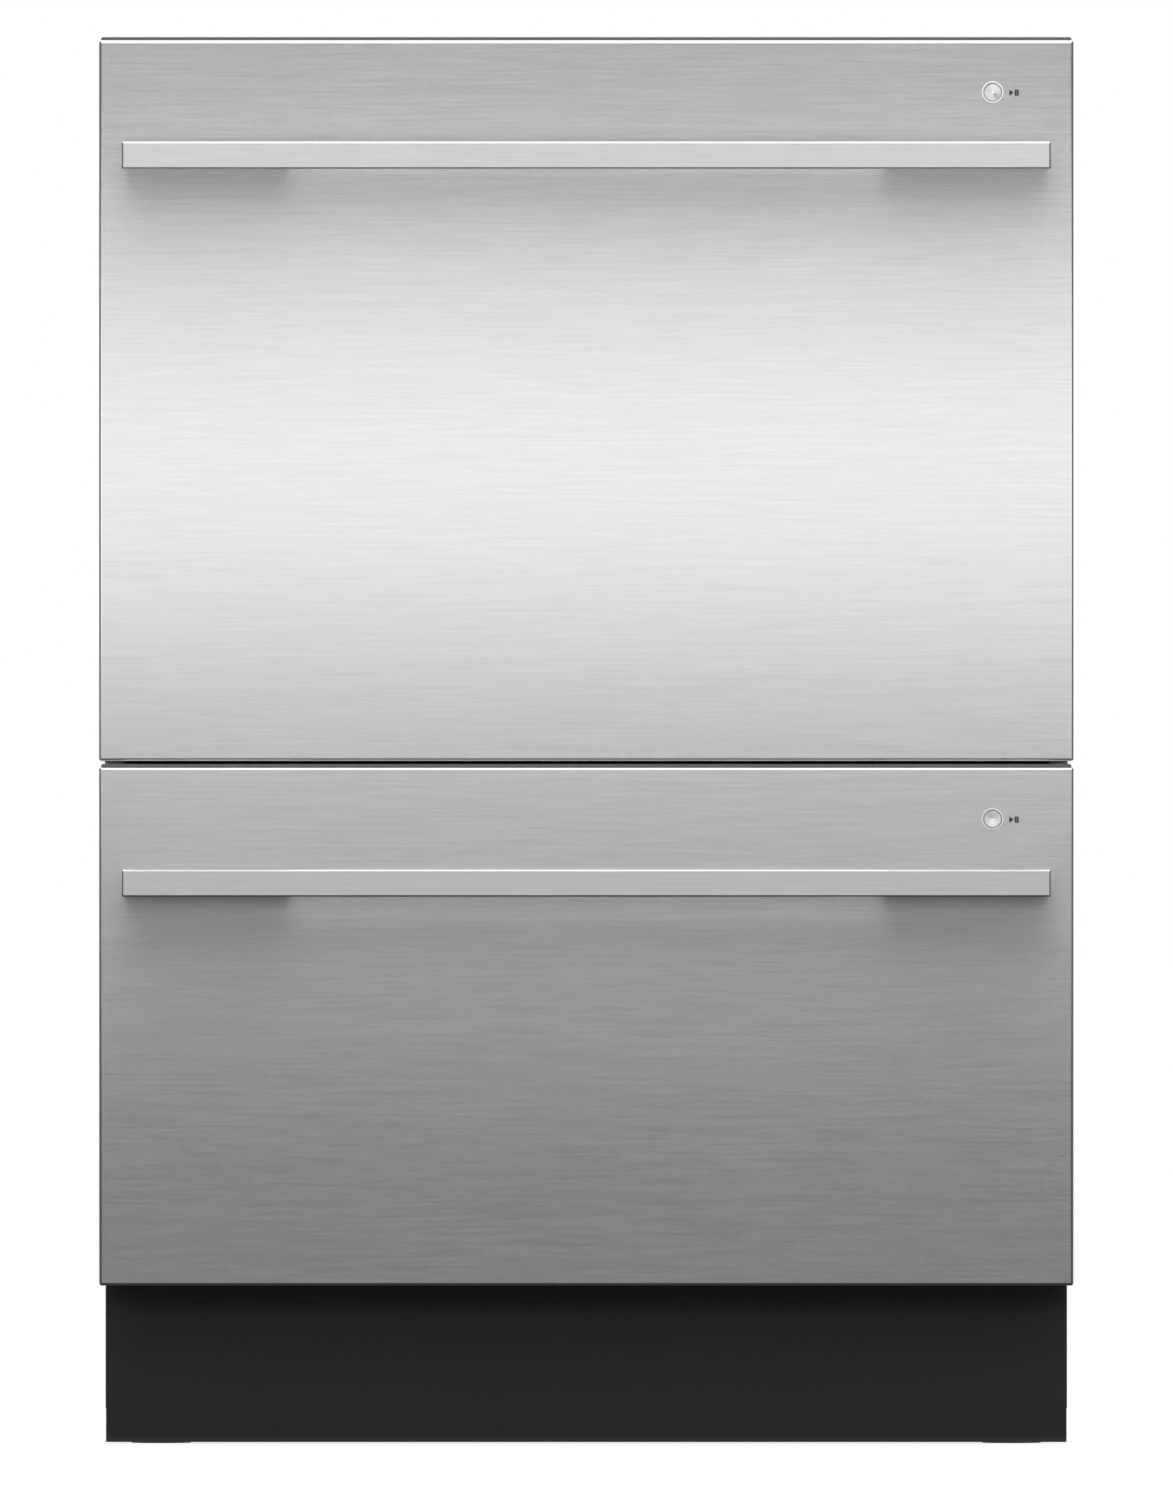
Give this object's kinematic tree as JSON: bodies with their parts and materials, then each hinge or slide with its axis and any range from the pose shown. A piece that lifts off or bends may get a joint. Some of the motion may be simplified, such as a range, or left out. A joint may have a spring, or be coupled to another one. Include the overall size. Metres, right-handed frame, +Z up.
{
  "type": "double dishwasher drawer",
  "caption": "Built-in dishwasher with a tall upper and a shorter lower drawer behind brushed-steel fronts with full-width bar handles.",
  "frame": {"origin": "centre of the footprint at floor level, the middle of the overall width and depth", "axes": "+Z up, the drawer fronts face -Y and open towards -Y, +X is to the right seen from the front"},
  "size_m": [0.599, 0.617, 0.8651],
  "materials": {
    "front_steel": "fine horizontal brushing",
    "handle_steel": "satin brushed, polished edges",
    "galvanised_sheet": "zinc-coated sheet",
    "zinc_runner": "bright zinc",
    "bright_chrome": "polished",
    "button_metal": "spun",
    "filter_steel": "perforated sheet",
    "strip_plastic": "satin dark grey",
    "black_plastic": "fine matt",
    "kick_paint": "matt black paint",
    "liner_plastic": "matt",
    "tub_plastic": "satin moulded",
    "lid_plastic": "satin moulded",
    "pump_plastic": "matt",
    "spray_plastic": "satin",
    "rack_wire": "nylon-coated wire",
    "basket_plastic": "satin",
    "white_plastic": "satin",
    "dark_trim": "satin",
    "seal_rubber": "matt"
  },
  "bodies": {
    "cabinet": {"cabinet_left_side": "galvanised_sheet", "cabinet_right_side": "galvanised_sheet", "cabinet_back": "galvanised_sheet", "cabinet_top": "galvanised_sheet", "middle_shelf": "galvanised_sheet", "base_tray": "black_plastic", "toe_kick": "kick_paint", "runner_rails": "zinc_runner", "lid_actuators": "pump_plastic", "supply_box": "black_plastic", "inlet_valve": "white_plastic", "cabinet_screws": "bright_chrome"},
    "upper_drawer": {"upper_front_skin": "front_steel", "upper_door_liner": "liner_plastic", "upper_control_strip": "strip_plastic", "upper_handle": "handle_steel", "upper_button_ring": "bright_chrome", "upper_tub": "tub_plastic", "upper_runner_inner": "zinc_runner", "upper_wash_pump": "pump_plastic", "upper_filter_plate": "filter_steel", "upper_rack_base": "rack_wire", "upper_rack_walls": "rack_wire", "upper_cutlery_basket": "basket_plastic", "upper_dispenser": "white_plastic"},
    "upper_slide_link": {"upper_runner_middle": "zinc_runner"},
    "upper_button": {"upper_start_button": "button_metal"},
    "upper_spray": {"upper_spray_arm": "spray_plastic"},
    "upper_cover": {"upper_lid": "lid_plastic", "upper_lid_seal": "seal_rubber"},
    "upper_cup_rack": {"upper_cup_shelf": "rack_wire"},
    "upper_tine_bar": {"upper_folding_tines": "rack_wire"},
    "upper_cup_door": {"upper_detergent_door": "dark_trim"},
    "upper_rinse_knob": {"upper_rinse_cap": "dark_trim"},
    "lower_drawer": {"lower_front_skin": "front_steel", "lower_door_liner": "liner_plastic", "lower_control_strip": "strip_plastic", "lower_handle": "handle_steel", "lower_button_ring": "bright_chrome", "lower_tub": "tub_plastic", "lower_runner_inner": "zinc_runner", "lower_wash_pump": "pump_plastic", "lower_filter_plate": "filter_steel", "lower_rack_base": "rack_wire", "lower_rack_walls": "rack_wire", "lower_cutlery_basket": "basket_plastic", "lower_dispenser": "white_plastic"},
    "lower_slide_link": {"lower_runner_middle": "zinc_runner"},
    "lower_button": {"lower_start_button": "button_metal"},
    "lower_spray": {"lower_spray_arm": "spray_plastic"},
    "lower_cover": {"lower_lid": "lid_plastic", "lower_lid_seal": "seal_rubber"},
    "lower_cup_rack": {"lower_cup_shelf": "rack_wire"},
    "lower_tine_bar": {"lower_folding_tines": "rack_wire"},
    "lower_cup_door": {"lower_detergent_door": "dark_trim"},
    "lower_rinse_knob": {"lower_rinse_cap": "dark_trim"},
    "front_left_foot": {"foot_front_left": "black_plastic"},
    "front_right_foot": {"foot_front_right": "black_plastic"},
    "back_left_foot": {"foot_back_left": "black_plastic"},
    "back_right_foot": {"foot_back_right": "black_plastic"}
  },
  "joints": [
    {"name": "upper_drawer_slide", "type": "slide", "parent": "cabinet", "child": "upper_drawer", "axis": [0, -1, 0], "range_m": [0, 0.545]},
    {"name": "upper_middle_slide", "type": "slide", "parent": "cabinet", "child": "upper_slide_link", "axis": [0, -1, 0], "range_m": [0, 0.2725]},
    {"name": "upper_lid_lift", "type": "slide", "parent": "cabinet", "child": "upper_cover", "axis": [0, 0, -1], "range_m": [0, 0.012]},
    {"name": "upper_button_press", "type": "slide", "parent": "upper_drawer", "child": "upper_button", "axis": [0, 1, 0], "range_m": [0, 0.0012], "stiffness_N_per_m": 800},
    {"name": "upper_spray_turn", "type": "hinge", "parent": "upper_drawer", "child": "upper_spray", "pos_m": [0, 0.01425, 0.5094], "axis": [0, 0, 1], "continuous": true},
    {"name": "upper_cup_shelf_fold", "type": "hinge", "parent": "upper_drawer", "child": "upper_cup_rack", "pos_m": [-0.23, 0.01425, 0.6354], "axis": [0, -1, 0], "range_deg": [0, 85]},
    {"name": "upper_tine_fold", "type": "hinge", "parent": "upper_drawer", "child": "upper_tine_bar", "pos_m": [0.01, 0.01425, 0.5557], "axis": [0, 1, 0], "range_deg": [0, 85]},
    {"name": "upper_detergent_slide", "type": "slide", "parent": "upper_drawer", "child": "upper_cup_door", "axis": [-1, 0, 0], "range_m": [0, 0.054]},
    {"name": "upper_rinse_turn", "type": "hinge", "parent": "upper_drawer", "child": "upper_rinse_knob", "pos_m": [0.059, -0.222, 0.7543], "axis": [0, 1, 0], "range_deg": [0, 90]},
    {"name": "lower_drawer_slide", "type": "slide", "parent": "cabinet", "child": "lower_drawer", "axis": [0, -1, 0], "range_m": [0, 0.545]},
    {"name": "lower_middle_slide", "type": "slide", "parent": "cabinet", "child": "lower_slide_link", "axis": [0, -1, 0], "range_m": [0, 0.2725]},
    {"name": "lower_lid_lift", "type": "slide", "parent": "cabinet", "child": "lower_cover", "axis": [0, 0, -1], "range_m": [0, 0.012]},
    {"name": "lower_button_press", "type": "slide", "parent": "lower_drawer", "child": "lower_button", "axis": [0, 1, 0], "range_m": [0, 0.0012], "stiffness_N_per_m": 800},
    {"name": "lower_spray_turn", "type": "hinge", "parent": "lower_drawer", "child": "lower_spray", "pos_m": [0, 0.01425, 0.19], "axis": [0, 0, 1], "continuous": true},
    {"name": "lower_cup_shelf_fold", "type": "hinge", "parent": "lower_drawer", "child": "lower_cup_rack", "pos_m": [-0.23, 0.01425, 0.29], "axis": [0, -1, 0], "range_deg": [0, 85]},
    {"name": "lower_tine_fold", "type": "hinge", "parent": "lower_drawer", "child": "lower_tine_bar", "pos_m": [0.01, 0.01425, 0.2363], "axis": [0, 1, 0], "range_deg": [0, 85]},
    {"name": "lower_detergent_slide", "type": "slide", "parent": "lower_drawer", "child": "lower_cup_door", "axis": [-1, 0, 0], "range_m": [0, 0.054]},
    {"name": "lower_rinse_turn", "type": "hinge", "parent": "lower_drawer", "child": "lower_rinse_knob", "pos_m": [0.059, -0.222, 0.3076], "axis": [0, 1, 0], "range_deg": [0, 90]},
    {"name": "front_left_foot_screw", "type": "slide", "parent": "cabinet", "child": "front_left_foot", "axis": [0, 0, -1], "range_m": [0, 0.06]},
    {"name": "front_right_foot_screw", "type": "slide", "parent": "cabinet", "child": "front_right_foot", "axis": [0, 0, -1], "range_m": [0, 0.06]},
    {"name": "back_left_foot_screw", "type": "slide", "parent": "cabinet", "child": "back_left_foot", "axis": [0, 0, -1], "range_m": [0, 0.06]},
    {"name": "back_right_foot_screw", "type": "slide", "parent": "cabinet", "child": "back_right_foot", "axis": [0, 0, -1], "range_m": [0, 0.06]}
  ],
  "couplings": [
    {"joint": "upper_middle_slide", "follows": "upper_drawer_slide", "ratio": 0.5},
    {"joint": "lower_middle_slide", "follows": "lower_drawer_slide", "ratio": 0.5}
  ]
}
